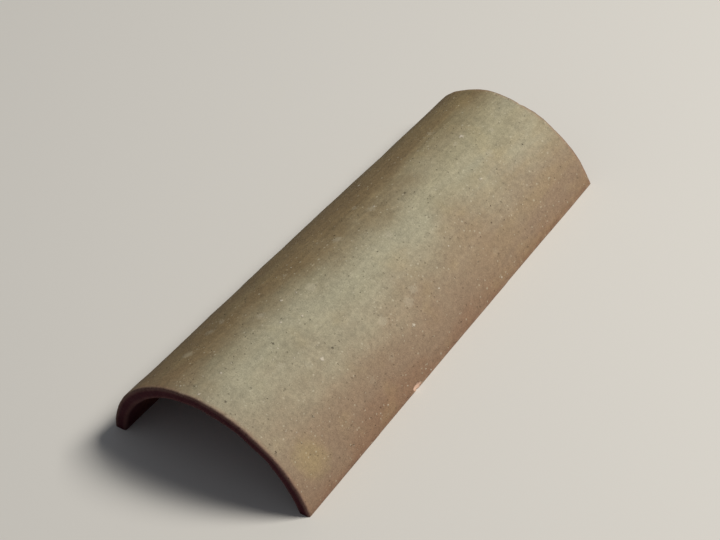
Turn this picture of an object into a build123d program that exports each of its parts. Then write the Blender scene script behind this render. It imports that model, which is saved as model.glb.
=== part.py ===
from build123d import *
from math import atan2, cos, hypot
import os

# Driving dimensions in millimetres
tile_length = 400
wide_width = 190
narrow_width = 156
axis_depth = 17
wall = 11
end_arris = 2.5
foot_arris = 2

# The arch is part of a cone whose axis runs below the bed, and its chords are the widths
arch_axis = Axis((0, 0, -axis_depth), (0, 1, 0))
wide_radius = hypot(wide_width / 2, axis_depth)
narrow_radius = hypot(narrow_width / 2, axis_depth)
wide_crown = wide_radius - axis_depth
narrow_crown = narrow_radius - axis_depth

# Upright thickness of the sloping crown, so that the wall is true across its face
crown_slope = atan2(wide_crown - narrow_crown, tile_length)
crown_drop = wall / cos(crown_slope)

with BuildPart() as barrel_tile:
    # The wall along the crown, with its cut ends rounded: wide end at -Y, narrow at +Y
    with BuildSketch(Plane.YZ) as crown_wall:
        with BuildLine():
            Polyline(
                (-tile_length / 2, wide_crown),
                (tile_length / 2, narrow_crown),
                (tile_length / 2, narrow_crown - crown_drop),
                (-tile_length / 2, wide_crown - crown_drop),
                close=True,
            )
        make_face()
        fillet(crown_wall.vertices(), radius=end_arris)

    # Right half of the arch, turned from the crown down past the bed and cut off there
    revolve(axis=arch_axis, revolution_arc=90)
    split(bisect_by=Plane.XY, keep=Keep.TOP)

    # Foot that the tile stands on, rounded all round before the left half is added
    right_foot = barrel_tile.faces().sort_by(Axis.Z)[0]
    fillet(right_foot.edges(), radius=foot_arris)
    mirror(about=Plane.YZ)

barrel_tile.part.label = "barrel_tile"

os.makedirs("parts", exist_ok=True)
export_step(barrel_tile.part, "parts/barrel_tile.step")
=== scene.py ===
import math

import bpy
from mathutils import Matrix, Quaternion, Vector


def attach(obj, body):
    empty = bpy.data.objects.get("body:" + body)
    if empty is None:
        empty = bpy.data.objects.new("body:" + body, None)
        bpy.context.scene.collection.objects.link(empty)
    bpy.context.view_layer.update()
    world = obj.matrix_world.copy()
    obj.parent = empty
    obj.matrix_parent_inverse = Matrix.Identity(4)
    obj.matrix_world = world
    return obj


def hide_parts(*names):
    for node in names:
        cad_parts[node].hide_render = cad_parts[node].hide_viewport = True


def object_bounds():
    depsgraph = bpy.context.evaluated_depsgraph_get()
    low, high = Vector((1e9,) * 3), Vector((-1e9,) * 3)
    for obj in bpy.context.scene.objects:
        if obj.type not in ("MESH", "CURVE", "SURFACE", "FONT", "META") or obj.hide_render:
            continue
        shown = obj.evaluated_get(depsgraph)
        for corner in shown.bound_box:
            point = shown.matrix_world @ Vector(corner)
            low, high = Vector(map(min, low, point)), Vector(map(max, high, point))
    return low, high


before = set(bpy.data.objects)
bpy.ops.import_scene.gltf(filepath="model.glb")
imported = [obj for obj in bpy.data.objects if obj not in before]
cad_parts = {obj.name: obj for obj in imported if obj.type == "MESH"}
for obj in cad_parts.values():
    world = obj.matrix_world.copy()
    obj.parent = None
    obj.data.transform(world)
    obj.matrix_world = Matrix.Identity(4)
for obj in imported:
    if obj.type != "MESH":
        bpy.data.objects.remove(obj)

cadLow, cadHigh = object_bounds()  # the box that the dressed tile keeps to
tileLength = cadHigh.y - cadLow.y


# Helpers for modelling


def deselectAll():
    if bpy.context.mode != "OBJECT":
        bpy.ops.object.mode_set(mode="OBJECT")
    bpy.ops.object.select_all(action="DESELECT")


def startOn(piece):
    deselectAll()
    piece.select_set(True)
    bpy.context.view_layer.objects.active = piece


def clearPicks(piece):
    bpy.ops.object.mode_set(mode="OBJECT")
    for part in (piece.data.polygons, piece.data.edges, piece.data.vertices):
        part.foreach_set("select", [False] * len(part))


def selectPoints(piece, wanted):  # picks the points that wanted says yes to, in edit mode
    clearPicks(piece)
    for point in piece.data.vertices:
        point.select = wanted(point.co)
    bpy.ops.object.mode_set(mode="EDIT")
    bpy.ops.mesh.select_mode(type="VERT")


def selectEdges(piece, wanted):  # picks the edges whose two ends wanted says yes to
    clearPicks(piece)
    points = piece.data.vertices
    for edge in piece.data.edges:
        edge.select = wanted(*(points[index].co for index in edge.vertices))
    bpy.ops.object.mode_set(mode="EDIT")
    bpy.ops.mesh.select_mode(type="EDGE")


def finishWith(piece, kind, **settings):  # adds a modifier and applies it
    startOn(piece)
    modifier = piece.modifiers.new(kind.title(), kind)
    for name, value in settings.items():
        setattr(modifier, name, value)
    bpy.ops.object.modifier_apply(modifier=modifier.name)


def cloudTexture(name, scale):
    texture = bpy.data.textures.new(name, "CLOUDS")
    texture.noise_scale = scale
    texture.noise_depth = 3
    return texture


def fadeBetween(value, low, high):  # smooth step from 0 at low to 1 at high
    share = min(max((value - low) / (high - low), 0.0), 1.0)
    return share * share * (3 - 2 * share)


def paintGroup(piece, name, weightAt):
    group = piece.vertex_groups.new(name=name)
    for point in piece.data.vertices:
        weight = weightAt(point.co)
        if weight > 0:
            group.add([point.index], weight, "REPLACE")


# The tile: the wall's outline turned over the arch, cut off at the bed, chipped and warped

barrelTile = {
    "wideWidth": 0.190,
    "narrowWidth": 0.156,
    "axisDepth": 0.017,  # the arch's axis runs this far below the bed
    "wall": 0.011,
    "arris": 0.0022,
    "arrisSteps": 4,
    "turnReach": math.radians(84),  # each way from the crown, past the bed
    "turnSteps": 176,
    "lengthCuts": (99, 1),
    "wallCuts": 3,
    "level": 0.00001,  # ends of an edge that are this near in y lie across the tile
    "bedSnap": 0.0003,  # how near the bed a point counts as lying on it
    "footArris": 0.0018,
    "footCorner": {"height": 0.0005, "depth": 0.0006},  # what counts as a foot's corner
    "footRounding": {"factor": 0.5, "iterations": 4},
    # turn in degrees from the crown, place along the tile, how deep the ball's middle lies
    # under the outer face (less than nothing is outside), its radius and its stretch
    "chips": [
        {"turn": 77.6, "along": -0.052, "inward": -0.0016, "radius": 0.0032, "stretch": 2.0},
        {"turn": -58, "along": 0.2010, "inward": -0.0006, "radius": 0.0046, "stretch": 1.0},
        {"turn": 12, "along": 0.2012, "inward": -0.0010, "radius": 0.0034, "stretch": 1.0},
        {"turn": -77.5, "along": 0.088, "inward": -0.0014, "radius": 0.0034, "stretch": 1.6},
    ],
    "chipLumps": 0.9,  # as a share of the chip's radius
    "chipMerge": 0.00005,
    "chipSliver": 0.00002,
    # slight warp, hand marks, drag lines and uneven cuts of clay laid by hand
    "relief": {
        "warpUp": {"scale": 0.11, "strength": 0.0016, "direction": "Z", "group": "offBed"},
        "warpSide": {"scale": 0.14, "strength": 0.0018, "direction": "X"},
        "handMarks": {"scale": 0.028, "strength": 0.0009, "direction": "NORMAL", "group": "offBed"},
        "dragLines": {
            "scale": 1.0,
            "strength": 0.0005,
            "direction": "NORMAL",
            "group": "offBed",
            "stretch": (0.006, 0.11, 0.006),
        },
        "cutEnds": {"scale": 0.022, "strength": 0.0014, "direction": "Y", "group": "ends"},
    },
    # where each mask starts and is full: metres, but shares of its radius for a chip
    "fades": {
        "arris": (0.0012, 0.0034),
        "chip": (1.1, 1.4),
        "underFace": (0.0001, 0.0006),
        "inside": (0.003, 0.009),
        "cutEnd": (0.0004, 0.0020),
        "offBed": (0.0, 0.012),
        "ends": (0.002, 0.030),
    },
    "innerWearAndHighlight": 0.4,  # wear and painted highlight of the inner arrises beside that of the outer ones
}
wideRadius = math.hypot(barrelTile["wideWidth"] / 2, barrelTile["axisDepth"])
narrowRadius = math.hypot(barrelTile["narrowWidth"] / 2, barrelTile["axisDepth"])


def outerRadius(y):  # of the arch at a place along the tile
    return wideRadius + (narrowRadius - wideRadius) * (y / tileLength + 0.5)


def depthInWall(place):  # from the outer face towards the arch's axis
    return outerRadius(place.y) - math.hypot(place.x, place.z + barrelTile["axisDepth"])


def depthToFace(place):  # distance to the nearer face of the wall
    depth = depthInWall(place)
    return min(abs(depth), abs(depth - barrelTile["wall"]))


def toCutEnd(place):  # distance to the nearer cut end
    return tileLength / 2 - abs(place.y)


def fadeOf(name, value):
    return fadeBetween(value, *barrelTile["fades"][name])


def drawOutline():  # of the wall from end to end, where the arch starts below the left foot
    wall = barrelTile["wall"]
    start = -barrelTile["turnReach"]
    outward = Vector((math.sin(start), 0, math.cos(start)))
    bpy.ops.mesh.primitive_plane_add(
        size=1,
        location=outward * (wideRadius - wall / 2),
        rotation=(0, start - math.pi / 2, 0),
    )
    tile = bpy.context.object
    tile.name = "barrelTile"
    tile.scale = (wall, tileLength, 1)
    bpy.ops.object.transform_apply(location=True, rotation=True, scale=True)
    # the narrow end of the wall comes nearer to the axis
    selectPoints(tile, lambda place: place.y > 0)
    bpy.ops.transform.translate(value=outward * (narrowRadius - wideRadius))
    bpy.ops.mesh.select_all(action="SELECT")
    bpy.ops.mesh.bevel(
        offset=barrelTile["arris"], segments=barrelTile["arrisSteps"], affect="VERTICES"
    )
    bpy.ops.mesh.delete(type="ONLY_FACE")
    selectEdges(tile, lambda first, second: abs(first.y - second.y) > tileLength / 2)
    for cuts in barrelTile["lengthCuts"]:
        bpy.ops.mesh.subdivide(number_cuts=cuts)
    selectEdges(tile, lambda first, second: abs(first.y - second.y) < barrelTile["level"])
    bpy.ops.mesh.subdivide(number_cuts=barrelTile["wallCuts"])
    return tile


def turnArch(tile):  # the outline is turned round the origin, and the arch is then lowered
    reach, steps = 2 * barrelTile["turnReach"], barrelTile["turnSteps"]
    finishWith(tile, "SCREW", axis="Y", angle=reach, steps=steps, render_steps=steps)
    bpy.ops.object.mode_set(mode="EDIT")
    bpy.ops.mesh.select_all(action="SELECT")
    bpy.ops.transform.translate(value=(0, 0, -barrelTile["axisDepth"]))


def cutAtBed(tile):
    # points near the bed are brought onto it first, so that the cut leaves no slivers
    nearBed = barrelTile["bedSnap"]
    selectPoints(tile, lambda place: abs(place.z) < nearBed)
    bpy.ops.transform.resize(value=(1, 1, 0), center_override=(0, 0, 0))
    bpy.ops.mesh.select_all(action="SELECT")
    bpy.ops.mesh.bisect(plane_co=(0, 0, 0), plane_no=(0, 0, 1), use_fill=True, clear_inner=True)
    bpy.ops.mesh.select_all(action="SELECT")
    bpy.ops.mesh.normals_make_consistent(inside=False)
    # an inner ring on each foot stays level while the corners are rounded
    selectPoints(tile, lambda place: place.z < nearBed)
    bpy.ops.mesh.select_mode(type="FACE")
    bpy.ops.mesh.inset(thickness=barrelTile["footArris"])
    bpy.ops.object.mode_set(mode="OBJECT")
    height, depth = barrelTile["footCorner"]["height"], barrelTile["footCorner"]["depth"]
    paintGroup(
        tile, "footCorners", lambda place: place.z < height and depthToFace(place) < depth
    )
    finishWith(tile, "SMOOTH", vertex_group="footCorners", **barrelTile["footRounding"])


def chipPlace(chip):
    turn = math.radians(chip["turn"])
    radius = outerRadius(chip["along"]) - chip["inward"]
    return Vector(
        (radius * math.sin(turn), chip["along"], radius * math.cos(turn) - barrelTile["axisDepth"])
    )


def breakOff(tile, chip):  # a lumpy ball cuts the chip out of the clay
    deselectAll()
    bpy.ops.mesh.primitive_ico_sphere_add(
        subdivisions=3, radius=chip["radius"], location=chipPlace(chip)
    )
    ball = bpy.context.object
    ball.scale = (1, chip["stretch"], 1)
    bpy.ops.object.transform_apply(location=True, rotation=True, scale=True)
    lumpSize = chip["radius"] * barrelTile["chipLumps"]
    lumps = cloudTexture("lumps", lumpSize)
    finishWith(ball, "DISPLACE", texture=lumps, strength=lumpSize, texture_coords="GLOBAL")
    finishWith(tile, "BOOLEAN", operation="DIFFERENCE", object=ball, solver="EXACT")
    bpy.data.objects.remove(ball)


def cleanCuts(tile):  # merges the slivers that the chips leave, and splits wide faces evenly
    startOn(tile)
    bpy.ops.object.mode_set(mode="EDIT")
    bpy.ops.mesh.select_all(action="SELECT")
    bpy.ops.mesh.remove_doubles(threshold=barrelTile["chipMerge"])
    bpy.ops.mesh.dissolve_degenerate(threshold=barrelTile["chipSliver"])
    bpy.ops.mesh.select_face_by_sides(number=4, type="GREATER", extend=False)
    bpy.ops.mesh.quads_convert_to_tris(ngon_method="BEAUTY")
    bpy.ops.object.mode_set(mode="OBJECT")


def makeTile():
    tile = drawOutline()
    turnArch(tile)
    cutAtBed(tile)
    for chip in barrelTile["chips"]:
        breakOff(tile, chip)
    cleanCuts(tile)
    print("tile body", len(tile.data.polygons), "faces")
    return tile


def displaceBy(tile, name, plan):
    settings = {
        "texture": cloudTexture(name, plan["scale"]),
        "strength": plan["strength"],
        "mid_level": 0.5,
        "direction": plan["direction"],
        "vertex_group": plan.get("group", ""),
    }
    stretcher = None
    if "stretch" in plan:  # an empty's scale draws the pattern out along the tile
        deselectAll()
        bpy.ops.object.empty_add(location=(0, 0, 0))
        stretcher = bpy.context.object
        stretcher.scale = plan["stretch"]
        bpy.context.view_layer.update()
        settings.update(texture_coords="OBJECT", texture_coords_object=stretcher)
    finishWith(tile, "DISPLACE", **settings)
    if stretcher:
        bpy.data.objects.remove(stretcher)


def arrisWearAndHighlightAt(place):  # 1 on the outer corners of the cut ends and of the feet, for wear and a painted highlight
    toFace = depthToFace(place)
    nearest = min(math.hypot(toFace, toCutEnd(place)), math.hypot(toFace, place.z))
    arrisWearAndHighlight = 1 - fadeOf("arris", nearest)
    outer = depthInWall(place) < barrelTile["wall"] / 2
    return arrisWearAndHighlight if outer else arrisWearAndHighlight * barrelTile["innerWearAndHighlight"]


def chippedAt(place):  # 1 where a chip left clay bare that was within the wall
    share = 0.0
    for chip in barrelTile["chips"]:
        apart = place - chipPlace(chip)
        apart.y /= chip["stretch"]
        share = max(share, 1 - fadeOf("chip", apart.length / chip["radius"]))
    below = min(depthToFace(place), toCutEnd(place), place.z)
    return share * fadeOf("underFace", below)


masks = {  # what the material reads from the mesh, taken before the clay is warped
    "arris": arrisWearAndHighlightAt,
    "chipped": chippedAt,
    "inside": lambda place: fadeOf("inside", depthInWall(place)),
    "cutEnd": lambda place: 1 - fadeOf("cutEnd", toCutEnd(place)),
}


def reachOf(tile):  # corners of the tile's box, also while it is edited
    if tile.mode == "EDIT":
        tile.update_from_editmode()
    low = Vector([min(point.co[i] for point in tile.data.vertices) for i in range(3)])
    high = Vector([max(point.co[i] for point in tile.data.vertices) for i in range(3)])
    return low, high


def warpTile(tile):
    paintGroup(tile, "offBed", lambda place: fadeOf("offBed", place.z))
    paintGroup(tile, "ends", lambda place: 1 - fadeOf("ends", toCutEnd(place)))
    for name, shareAt in masks.items():
        paintGroup(tile, name, shareAt)
    for name, plan in barrelTile["relief"].items():
        displaceBy(tile, name, plan)
    # what would reach below the bed is pressed flat on it
    selectPoints(tile, lambda place: place.z < 0)
    bpy.ops.transform.resize(value=(1, 1, 0), center_override=(0, 0, 0))
    # the worn tile is brought to the same overall size as the CAD's
    low, high = reachOf(tile)
    grow = [wanted / found for wanted, found in zip(cadHigh - cadLow, high - low)]
    middle = Vector(((low.x + high.x) / 2, (low.y + high.y) / 2, 0))
    bpy.ops.mesh.select_all(action="SELECT")
    bpy.ops.transform.resize(value=grow, center_override=middle)
    bpy.ops.transform.translate(value=-middle)
    bpy.ops.object.mode_set(mode="OBJECT")


def storeMasks(tile):  # an attribute can't share its name with a group, so the groups go first
    groups = {group.name: group.index for group in tile.vertex_groups}
    shares = {}
    for name in masks:
        shares[name] = []
        for point in tile.data.vertices:
            found = [part.weight for part in point.groups if part.group == groups[name]]
            shares[name].append(found[0] if found else 0.0)
    tile.vertex_groups.clear()
    for name, values in shares.items():
        mask = tile.data.attributes.new(name, "FLOAT", "POINT")
        mask.data.foreach_set("value", values)


# Shader helpers


def fromScreen(red, green, blue):  # a colour as seen on screen, 0 to 255, made linear
    linear = []
    for value in (red, green, blue):
        share = value / 255
        linear.append(share / 12.92 if share <= 0.04045 else ((share + 0.055) / 1.055) ** 2.4)
    return (*linear, 1.0)


def plug(tree, node, wires):  # each input is wired or set
    for name, value in wires.items():
        if isinstance(value, bpy.types.NodeSocket):
            tree.links.new(value, node.inputs[name])
        else:
            node.inputs[name].default_value = value


def put(tree, kind, wires=None, **settings):  # a node with its settings and inputs
    node = tree.nodes.new("ShaderNode" + kind)
    count = len(tree.nodes)
    node.location = (220 * (count % 10), -300 * (count // 10))
    for name, value in settings.items():
        setattr(node, name, value)
    plug(tree, node, wires or {})
    return node


def calc(tree, operation, first, second=0.0):
    return put(tree, "Math", {0: first, 1: second}, operation=operation).outputs[0]


def times(tree, first, second):
    return calc(tree, "MULTIPLY", first, second)


def plus(tree, first, second):
    return calc(tree, "ADD", first, second)


def minus(tree, first, second):
    return calc(tree, "SUBTRACT", first, second)


def blend(tree, share, first, second):  # share of the second, and the rest of the first
    return plus(tree, times(tree, first, minus(tree, 1.0, share)), times(tree, second, share))


def maskOf(tree, value, low, high):  # 0 at low, 1 at high, smooth between
    wires = {"Value": value, "From Min": low, "From Max": high}
    return put(tree, "MapRange", wires, interpolation_type="SMOOTHSTEP").outputs["Result"]


def spread(tree, pattern, low, high):  # a noise's usual range is stretched from low to high
    wires = {"Value": pattern, "From Min": 0.3, "From Max": 0.7, "To Min": low, "To Max": high}
    return put(tree, "MapRange", wires).outputs["Result"]


def mixColors(tree, amount, first, second, way="MIX"):
    wires = {"Factor": amount, 6: first, 7: second}
    return put(tree, "Mix", wires, data_type="RGBA", blend_type=way).outputs[2]


def cloudsAt(tree, place, scale, detail=4.0, roughness=0.5):
    wires = {"Vector": place, "Scale": scale, "Detail": detail, "Roughness": roughness}
    return put(tree, "TexNoise", wires).outputs["Fac"]


def newGroup(name, inputs, outputs):
    group = bpy.data.node_groups.new(name, "ShaderNodeTree")
    for title, kind, default in inputs:
        socket = group.interface.new_socket(
            title, in_out="INPUT", socket_type="NodeSocket" + kind
        )
        if default is not None:
            socket.default_value = default
    for title, kind in outputs:
        group.interface.new_socket(title, in_out="OUTPUT", socket_type="NodeSocket" + kind)
    return group, group.nodes.new("NodeGroupInput"), group.nodes.new("NodeGroupOutput")


def useGroup(tree, group, wires):
    node = put(tree, "Group", node_tree=group)
    plug(tree, node, wires)
    return node.outputs


# Effects, each a node group


def makeUnrollGroup():  # the arch laid out flat: round it, along it, and up through the wall
    group, source, result = newGroup(
        "archUnrolled",
        [
            ("Place", "Vector", None),
            ("Axis Depth", "Float", 0.017),
            ("Mean Radius", "Float", 0.088),
        ],
        [("Flat Place", "Vector"), ("Turn", "Float")],
    )
    apart = put(group, "SeparateXYZ", {"Vector": source.outputs["Place"]}).outputs
    height = plus(group, apart["Z"], source.outputs["Axis Depth"])
    turn = calc(group, "ARCTAN2", apart["X"], height)
    around = times(group, turn, source.outputs["Mean Radius"])
    square = plus(
        group, times(group, apart["X"], apart["X"]), times(group, height, height)
    )
    flatWires = {"X": around, "Y": apart["Y"], "Z": calc(group, "SQRT", square)}
    flat = put(group, "CombineXYZ", flatWires)
    group.links.new(flat.outputs[0], result.inputs["Flat Place"])
    group.links.new(turn, result.inputs["Turn"])
    return group


def makeStreakGroup():  # long soft streaks, as the clay was drawn over its mould
    group, source, result = newGroup(
        "dragStreaks",
        [
            ("Flat Place", "Vector", None),
            ("Fineness", "Float", 260.0),
            ("Length", "Float", 7.0),
            ("Depth", "Float", 60.0),
        ],
        [("Streaks", "Float")],
    )
    stretchWires = {
        "X": source.outputs["Fineness"],
        "Y": source.outputs["Length"],
        "Z": source.outputs["Depth"],
    }
    stretch = put(group, "CombineXYZ", stretchWires)
    drawn = put(
        group,
        "VectorMath",
        {0: source.outputs["Flat Place"], 1: stretch.outputs[0]},
        operation="MULTIPLY",
    )
    streaks = cloudsAt(group, drawn.outputs[0], 1.0, detail=3.0, roughness=0.55)
    group.links.new(streaks, result.inputs["Streaks"])
    return group


def makeSpotsGroup():  # scattered spots: only some cells of the pattern hold one
    group, source, result = newGroup(
        "scatteredSpots",
        [
            ("Place", "Vector", None),
            ("Per Metre", "Float", 90.0),
            ("Share", "Float", 0.2),
            ("Reach", "Float", 0.25),
            ("Smallest", "Float", 0.35),
            ("Core", "Float", 0.55),
            ("Raggedness", "Float", 2.6),
            ("Edge Grain", "Float", 600.0),
        ],
        [("Spots", "Float")],
    )
    place, reach = source.outputs["Place"], source.outputs["Reach"]
    cells = put(
        group, "TexVoronoi", {"Vector": place, "Scale": source.outputs["Per Metre"]}
    )
    chosen = put(group, "SeparateColor", {"Color": cells.outputs["Color"]}).outputs
    held = calc(group, "LESS_THAN", chosen["Red"], source.outputs["Share"])
    size = times(group, reach, plus(group, chosen["Green"], source.outputs["Smallest"]))
    bend = cloudsAt(group, place, source.outputs["Edge Grain"], detail=3.0, roughness=0.6)
    bend = minus(group, bend, 0.5)
    bend = times(group, bend, times(group, reach, source.outputs["Raggedness"]))
    ragged = plus(group, cells.outputs["Distance"], bend)
    spotWires = {
        "Value": ragged,
        "From Min": times(group, size, source.outputs["Core"]),
        "From Max": size,
        "To Min": 1.0,
        "To Max": 0.0,
    }
    spot = put(group, "MapRange", spotWires).outputs["Result"]
    group.links.new(times(group, spot, held), result.inputs["Spots"])
    return group


def makeGrainGroup():  # sandy grain of fired clay, as a tone and as a height
    group, source, result = newGroup(
        "clayGrain",
        [
            ("Place", "Vector", None),
            ("Per Metre", "Float", 900.0),
            ("Coarse Scale", "Float", 0.28),
            ("Coarse Share", "Float", 0.4),
            ("Pit Scale", "Float", 0.35),
            ("Pit Share", "Float", 0.3),
        ],
        [("Tone", "Float"), ("Height", "Float")],
    )
    place, fineness = source.outputs["Place"], source.outputs["Per Metre"]
    fine = cloudsAt(group, place, fineness, detail=3.0, roughness=0.65)
    coarseScale = times(group, fineness, source.outputs["Coarse Scale"])
    coarse = cloudsAt(group, place, coarseScale, detail=3.0)
    pitWires = {"Vector": place, "Scale": times(group, fineness, source.outputs["Pit Scale"])}
    pits = put(group, "TexVoronoi", pitWires).outputs["Distance"]
    pits = maskOf(group, pits, 0.02, 0.22)  # pits are the dark middles of the cells
    tone = blend(group, source.outputs["Coarse Share"], fine, coarse)
    height = blend(group, source.outputs["Pit Share"], tone, pits)
    group.links.new(tone, result.inputs["Tone"])
    group.links.new(height, result.inputs["Height"])
    return group


# Fired clay: weathered tan outside with painted highlight and shade on it, warm raw clay inside,
# and painted dark maroon shade on the cut ends and just inside the mouth

firedClay = {
    "colors": {  # as seen on screen, 0 to 255
        "tan": (161, 146, 121),
        # the khaki is weathering on the crown, and partly a painted highlight and sky reflection
        "khaki": (172, 167, 142),
        # the grey-brown is painted shade on the left flank, turned away from the light, over a
        # slightly browner clay
        "greyBrown": (127, 105, 69),
        # the rosy is the flanks' warmer clay, made darker as painted shade where the right flank
        # turns from the light
        "rosy": (143, 117, 96),
        "edgeBrown": (142, 108, 84),
        "footLine": (104, 68, 50),
        "ochre": (172, 153, 108),
        "moss": (138, 139, 108),
        # the dark maroon is painted shade on the cut ends and just inside the mouth
        "rawDark": (62, 13, 25),
        "rawWarm": (98, 54, 43),
        # the pale edge is wear and a painted highlight along the arrises
        "paleEdge": (190, 160, 140),
        "chipFace": (216, 182, 160),
        "paleBloom": (196, 187, 164),
        "limeFleck": (214, 203, 184),
        "darkSpeck": (62, 48, 40),
        "sandGrain": (204, 196, 172),
        "pore": (92, 74, 56),
    },
    "cover": {  # how strongly each tint covers what is under it
        "crown": 0.88,
        "leftFlank": 0.80,
        "leftPaler": 0.5,  # what the lowest left flank takes off the painted shade
        "rosyFlank": 0.74,
        "longEdge": 0.60,
        "footLine": 0.50,
        "mouth": 0.16,
        "mouthRim": 0.35,
        "ochre": 0.14,
        "moss": 0.13,
        "upperEnd": 0.18,
        "lapped": 0.85,
        "ochrePatch": 0.40,
        "wornArris": 0.22,
        "chips": 1.0,
        "bloom": 0.28,
        "flecks": 0.70,
        "specks": 0.55,
        "sandGrains": 0.42,
        "pores": 0.21,
    },
    "grainPerMetre": 900.0,
    "drawn": {  # streaks along the tile: fine ones, and a wide drift
        "streaks": {"Fineness": 240.0, "Length": 7.0},
        "drift": {"Fineness": 38.0, "Length": 10.0},
    },
    "clouds": {
        "broad": {"scale": 16.0, "detail": 5.0, "roughness": 0.55},
        "mottle": {"scale": 60.0, "detail": 5.0, "roughness": 0.6},
        "patches": {"scale": 30.0, "detail": 3.0},
        "blotches": {"scale": 130.0, "detail": 5.0, "roughness": 0.65},
        "sand": {"scale": 300.0, "detail": 4.0, "roughness": 0.7},
    },
    # where each layer starts and is full: turns from the crown in radians, places along the
    # tile and distances in metres, and values of the noises
    "reaches": {
        "crown": (0.85, 0.10),
        "leftFlank": (0.28, -0.42),
        "leftPaler": (-0.75, -1.25),
        "rosyFlank": (0.15, 1.20),
        "longEdge": (1.08, 1.42),
        "mouth": (-0.150, -0.200),
        "upperEnd": (0.01, 0.13),
        "upperDrift": (0.35, 0.60),
        "mossTurn": (0.95, 0.40),
        "mossDrift": (0.50, 0.72),
        "ochrePatches": (0.55, 0.75),
        "footLine": (0.0065, 0.0010),
        "footMottle": (0.30, 0.60),
        "calmTurn": (1.10, 0.40),
        "blotches": (0.50, 0.72),
        "rim": (0.0060, 0.0022),
        "rimMottle": (0.34, 0.56),
        "warmMottle": (0.20, 0.55),
        "warmInside": (0.002, 0.035),
        "lapped": (0.10, 0.19),
        "wornGrain": (0.30, 0.52),
        "bloomTurn": (1.30, 0.55),
        "crowdedFlecks": (0.48, 0.66),
    },
    "crownTurn": 0.16,  # the crown's khaki, partly a painted highlight, lies a little to the right, towards the light
    # the borders of the layers waver with two noises, whose sum is about middle, and are
    # pushed this far for each unit of it, in radians of turn and in metres along the tile
    "waver": {"drift": 0.6, "middle": 0.8, "turn": 0.75, "leftTurn": 0.6, "along": 0.05},
    "calm": 0.40,  # the tones' strength on the flanks, beside 1 on the crown
    "tones": {  # darkest and palest share of the colour, for each pattern
        "mottle": (0.93, 1.065),
        "sand": (0.935, 1.06),
        "blotches": (1.0, 0.92),
        "streaks": (0.955, 1.04),
        "grain": (0.74, 1.24),
    },
    "ochrePatch": {"around": 0.090, "along": -0.172, "reach": 0.022},
    "fleckPatch": {"around": -0.010, "along": -0.090, "reach": 0.026},
    "patchCore": 0.3,  # the share of a patch's reach that is full
    "fleckShares": {"everywhere": 0.02, "crowded": 0.12, "patch": 0.24},
    "bloom": {"Per Metre": 70.0, "Share": 0.20, "Reach": 0.30},
    "bigFlecks": {"Per Metre": 85.0, "Share": 0.06, "Reach": 0.13},
    "smallFlecks": {"Per Metre": 210.0, "Reach": 0.21},
    "darkSpecks": {"Per Metre": 150.0, "Share": 0.07, "Reach": 0.13},
    "sandGrains": {"Per Metre": 400.0, "Share": 0.17, "Reach": 0.31},
    "pores": {"Per Metre": 340.0, "Share": 0.15, "Reach": 0.26},
    "roughness": (0.80, 0.95),
    "specular": 0.25,
    # heights are shares of the bump's depth, and what is less than nothing is a pit
    "heights": {"grain": 0.6, "streaks": 0.5, "flecks": 0.3, "specks": -0.6, "pores": -0.4},
    "bumpStrength": 0.9,
    "bumpDepth": 0.0012,
}
clayColors = {name: fromScreen(*color) for name, color in firedClay["colors"].items()}


def reached(tree, value, name):
    return maskOf(tree, value, *firedClay["reaches"][name])


def tint(tree, color, mask, name, tinted):
    amount = times(tree, mask, firedClay["cover"][name])
    return mixColors(tree, amount, color, clayColors[tinted])


def tone(tree, color, pattern, name, amount=1.0):
    share = spread(tree, pattern, *firedClay["tones"][name])
    return mixColors(tree, amount, color, share, "MULTIPLY")


def patchAt(tree, patterns, patch):  # a soft ragged patch on the unrolled arch
    middle = (patch["around"], patch["along"], outerRadius(patch["along"]))
    wires = {0: patterns["flat"], 1: middle}
    apart = put(tree, "VectorMath", wires, operation="DISTANCE").outputs["Value"]
    bend = minus(tree, patterns["mottle"], 0.5)
    ragged = plus(tree, apart, times(tree, bend, patch["reach"]))
    return maskOf(tree, ragged, patch["reach"], patch["reach"] * firedClay["patchCore"])


def layPatterns(tree):  # places, masks and noises that the layers of colour are drawn from
    place = put(tree, "TexCoord").outputs["Object"]
    unrollWires = {
        "Place": place,
        "Axis Depth": barrelTile["axisDepth"],
        "Mean Radius": (wideRadius + narrowRadius) / 2,
    }
    unrolled = useGroup(tree, makeUnrollGroup(), unrollWires)
    flat = unrolled["Flat Place"]
    grainWires = {"Place": place, "Per Metre": firedClay["grainPerMetre"]}
    grain = useGroup(tree, makeGrainGroup(), grainWires)
    apart = put(tree, "SeparateXYZ", {"Vector": place}).outputs
    patterns = {
        "place": place,
        "flat": flat,
        "turn": unrolled["Turn"],
        "fromCrown": calc(tree, "ABSOLUTE", unrolled["Turn"]),
        "along": apart["Y"],
        "up": apart["Z"],
        "toEnd": minus(tree, tileLength / 2, calc(tree, "ABSOLUTE", apart["Y"])),
        "grain": grain["Tone"],
        "grainHeight": grain["Height"],
    }
    streakGroup = makeStreakGroup()
    for name, plan in firedClay["drawn"].items():
        wires = {"Flat Place": flat, **plan}
        patterns[name] = useGroup(tree, streakGroup, wires)["Streaks"]
    for name, plan in firedClay["clouds"].items():
        patterns[name] = cloudsAt(tree, flat, **plan)
    for name in masks:
        patterns[name] = put(tree, "Attribute", attribute_name=name).outputs["Fac"]
    return patterns


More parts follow.
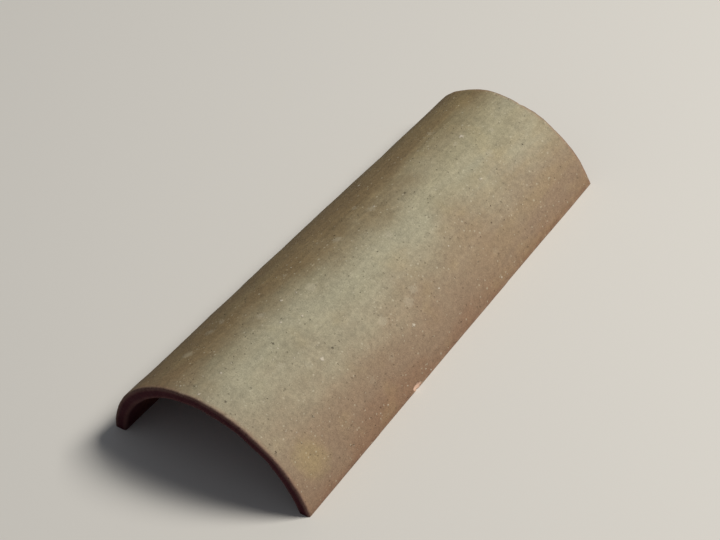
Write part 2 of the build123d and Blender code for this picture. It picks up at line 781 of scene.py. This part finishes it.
def weatheredAndShadedFace(tree, patterns):  # khaki crown partly a painted highlight, left flank darkened by painted shade, rosy right flank partly painted shade, and weathering tints
    drift, mottle, push = patterns["drift"], patterns["mottle"], firedClay["waver"]
    waver = plus(tree, patterns["broad"], times(tree, drift, push["drift"]))
    waver = minus(tree, waver, push["middle"])
    turn = plus(tree, patterns["turn"], times(tree, waver, push["turn"]))
    leftTurn = plus(tree, patterns["turn"], times(tree, waver, push["leftTurn"]))
    along = plus(tree, patterns["along"], times(tree, waver, push["along"]))
    fromKhaki = calc(tree, "ABSOLUTE", minus(tree, turn, firedClay["crownTurn"]))
    fromCrown = calc(tree, "ABSOLUTE", turn)
    paler = times(tree, reached(tree, leftTurn, "leftPaler"), firedClay["cover"]["leftPaler"])
    # painted shade darkens the left flank, and is faded on its lowest part
    left = times(tree, reached(tree, leftTurn, "leftFlank"), minus(tree, 1.0, paler))
    upper = times(
        tree, reached(tree, along, "upperEnd"), reached(tree, drift, "upperDrift")
    )
    mossy = times(
        tree, reached(tree, drift, "mossDrift"), reached(tree, fromKhaki, "mossTurn")
    )
    # a thin darker brown line along the feet, just above the bed
    bedded = times(
        tree, reached(tree, patterns["up"], "footLine"), reached(tree, mottle, "footMottle")
    )
    layers = (
        (reached(tree, fromKhaki, "crown"), "crown", "khaki"),
        (left, "leftFlank", "greyBrown"),
        (reached(tree, turn, "rosyFlank"), "rosyFlank", "rosy"),
        (reached(tree, fromCrown, "longEdge"), "longEdge", "edgeBrown"),
        (reached(tree, along, "mouth"), "mouth", "rosy"),
        (upper, "upperEnd", "ochre"),
        (mossy, "moss", "moss"),
        (reached(tree, patterns["patches"], "ochrePatches"), "ochre", "ochre"),
        (patchAt(tree, patterns, firedClay["ochrePatch"]), "ochrePatch", "ochre"),
        (bedded, "footLine", "footLine"),
    )
    color = clayColors["tan"]
    for mask, name, tinted in layers:
        color = tint(tree, color, mask, name, tinted)
    # the flanks are calmer than the crown
    lively = times(tree, reached(tree, fromCrown, "calmTurn"), 1 - firedClay["calm"])
    calm = plus(tree, lively, firedClay["calm"])
    for name in ("mottle", "streaks", "sand"):
        color = tone(tree, color, patterns[name], name, calm)
    return tone(tree, color, reached(tree, patterns["blotches"], "blotches"), "blotches", calm)


def rawClayAndShade(tree, patterns, color, reach):  # inside the arch and on the cut ends; the dark maroon there is painted shade
    mottle, toEnd = patterns["mottle"], patterns["toEnd"]
    rim = times(tree, reached(tree, toEnd, "rim"), reached(tree, mottle, "rimMottle"))
    color = tint(tree, color, rim, "mouthRim", "edgeBrown")
    warm = times(tree, patterns["inside"], reached(tree, mottle, "warmMottle"))
    warm = times(tree, warm, reached(tree, toEnd, "warmInside"))
    # the upper end was lapped by the next tile, so its clay is cleaner
    lapped = reached(tree, patterns["along"], "lapped")
    lapped = times(tree, lapped, firedClay["cover"]["lapped"])
    warm = calc(tree, "MAXIMUM", warm, lapped)
    # painted shade: dark maroon wherever the warm clay does not reach
    raw = mixColors(tree, warm, clayColors["rawDark"], clayColors["rawWarm"])
    return tone(tree, mixColors(tree, reach, color, raw), patterns["grain"], "grain")


def spotsOf(tree, patterns, group, name, **wires):
    wires.update({"Place": patterns["place"], **firedClay[name]})
    return useGroup(tree, group, wires)["Spots"]


def limeFlecks(tree, patterns, group):
    shares = firedClay["fleckShares"]
    crowded = times(tree, reached(tree, patterns["broad"], "crowdedFlecks"), shares["crowded"])
    cluster = times(tree, patchAt(tree, patterns, firedClay["fleckPatch"]), shares["patch"])
    share = plus(tree, shares["everywhere"], calc(tree, "MAXIMUM", crowded, cluster))
    small = spotsOf(tree, patterns, group, "smallFlecks", Share=share)
    return calc(tree, "MAXIMUM", small, spotsOf(tree, patterns, group, "bigFlecks"))


def makeClay():
    clay = bpy.data.materials.new("firedClay")
    clay.use_nodes = True
    tree = clay.node_tree
    tree.nodes.clear()
    patterns = layPatterns(tree)
    rawReach = calc(tree, "MAXIMUM", patterns["inside"], patterns["cutEnd"])
    weathered = minus(tree, 1.0, rawReach)
    color = rawClayAndShade(tree, patterns, weatheredAndShadedFace(tree, patterns), rawReach)

    # worn arrises with a painted highlight, chips, lime blooms and flecks, dark specks, sand grains
    # and pores
    group = makeSpotsGroup()
    arrisWearAndHighlight = times(tree, patterns["arris"], reached(tree, patterns["grain"], "wornGrain"))
    bloom = times(tree, spotsOf(tree, patterns, group, "bloom"), weathered)
    bloom = times(tree, bloom, reached(tree, patterns["fromCrown"], "bloomTurn"))
    flecks = times(tree, limeFlecks(tree, patterns, group), weathered)
    specks = spotsOf(tree, patterns, group, "darkSpecks")
    sandGrains = times(tree, spotsOf(tree, patterns, group, "sandGrains"), weathered)
    pores = spotsOf(tree, patterns, group, "pores")
    layers = (
        (arrisWearAndHighlight, "wornArris", "paleEdge"),
        (patterns["chipped"], "chips", "chipFace"),
        (bloom, "bloom", "paleBloom"),
        (flecks, "flecks", "limeFleck"),
        (specks, "specks", "darkSpeck"),
        (sandGrains, "sandGrains", "sandGrain"),
        (pores, "pores", "pore"),
    )
    for mask, name, tinted in layers:
        color = tint(tree, color, mask, name, tinted)

    # fine relief, as heights that add up
    reliefs = {
        "grain": patterns["grainHeight"],
        "streaks": patterns["streaks"],
        "flecks": flecks,
        "specks": specks,
        "pores": pores,
    }
    height = 0.0
    for name, pattern in reliefs.items():
        height = plus(tree, height, times(tree, pattern, firedClay["heights"][name]))
    bumpWires = {
        "Height": height,
        "Strength": firedClay["bumpStrength"],
        "Distance": firedClay["bumpDepth"],
    }
    surfaceWires = {
        "Base Color": color,
        "Roughness": spread(tree, patterns["mottle"], *firedClay["roughness"]),
        "Normal": put(tree, "Bump", bumpWires).outputs["Normal"],
        "Specular IOR Level": firedClay["specular"],
    }
    surface = put(tree, "BsdfPrincipled", surfaceWires)
    put(tree, "OutputMaterial", {"Surface": surface.outputs["BSDF"]})
    print("clay material", len(tree.nodes), "nodes")
    return clay


def dressTile():
    tile = makeTile()
    warpTile(tile)
    storeMasks(tile)
    startOn(tile)
    bpy.ops.object.shade_smooth_by_angle(angle=math.radians(50))
    tile.data.materials.append(makeClay())
    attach(tile, "root")
    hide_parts("barrel_tile")
    tile.data.calc_loop_triangles()
    print("tile dressed", len(tile.data.loop_triangles), "triangles")


# Studio: pale floor, soft light and the camera

studio = {
    "floorSize": 8.0,
    "floorColor": (226, 223, 216),
    "floorRoughness": 0.9,
    "skyColor": (0.86, 0.90, 1.0, 1.0),
    "skyStrength": 0.14,
    "lampTowards": (0.50, 0.40, 0.77),
    "lampDistance": 3.6,
    "lampSize": 1.3,
    "lampPower": 120,
    "lampColor": (1.0, 0.97, 0.92),
    "azimuth": math.radians(44),
    "elevation": math.radians(44),
    "roll": math.radians(-10.7),
    "cameraDistance": 2.94,
    "lens": 190,
}


def makeFloor():
    deselectAll()
    bpy.ops.mesh.primitive_plane_add(size=studio["floorSize"], location=(0, 0, 0))
    floor = bpy.context.object
    floor.name = "floor"
    paint = bpy.data.materials.new("paleFloor")
    paint.use_nodes = True
    surface = paint.node_tree.nodes["Principled BSDF"]
    surface.inputs["Base Color"].default_value = fromScreen(*studio["floorColor"])
    surface.inputs["Roughness"].default_value = studio["floorRoughness"]
    floor.data.materials.append(paint)


def makeLight(centre):
    world = bpy.data.worlds.new("softSky")
    bpy.context.scene.world = world
    world.use_nodes = True
    sky = world.node_tree.nodes["Background"]
    sky.inputs["Color"].default_value = studio["skyColor"]
    sky.inputs["Strength"].default_value = studio["skyStrength"]
    towards = Vector(studio["lampTowards"]).normalized()
    bpy.ops.object.light_add(type="AREA", location=centre + towards * studio["lampDistance"])
    lamp = bpy.context.object
    lamp.name = "softLamp"
    lamp.rotation_mode = "QUATERNION"
    lamp.rotation_quaternion = towards.to_track_quat("Z", "Y")
    lamp.data.size = studio["lampSize"]
    lamp.data.energy = studio["lampPower"]
    lamp.data.color = studio["lampColor"]


def makeCamera(centre):
    azimuth, elevation = studio["azimuth"], studio["elevation"]
    level = math.cos(elevation)
    back = Vector((math.sin(azimuth) * level, -math.cos(azimuth) * level, math.sin(elevation)))
    bpy.ops.object.camera_add(location=centre + back * studio["cameraDistance"])
    camera = bpy.context.object
    camera.rotation_mode = "QUATERNION"
    upright = back.to_track_quat("Z", "Y")
    camera.rotation_quaternion = upright @ Quaternion((0, 0, 1), studio["roll"])
    camera.data.lens = studio["lens"]
    bpy.context.scene.camera = camera


def makeStudio():
    centre = (cadLow + cadHigh) / 2
    makeFloor()
    makeLight(centre)
    makeCamera(centre)
    bpy.context.scene.view_settings.view_transform = "Standard"
    print("studio set")


dressTile()
makeStudio()
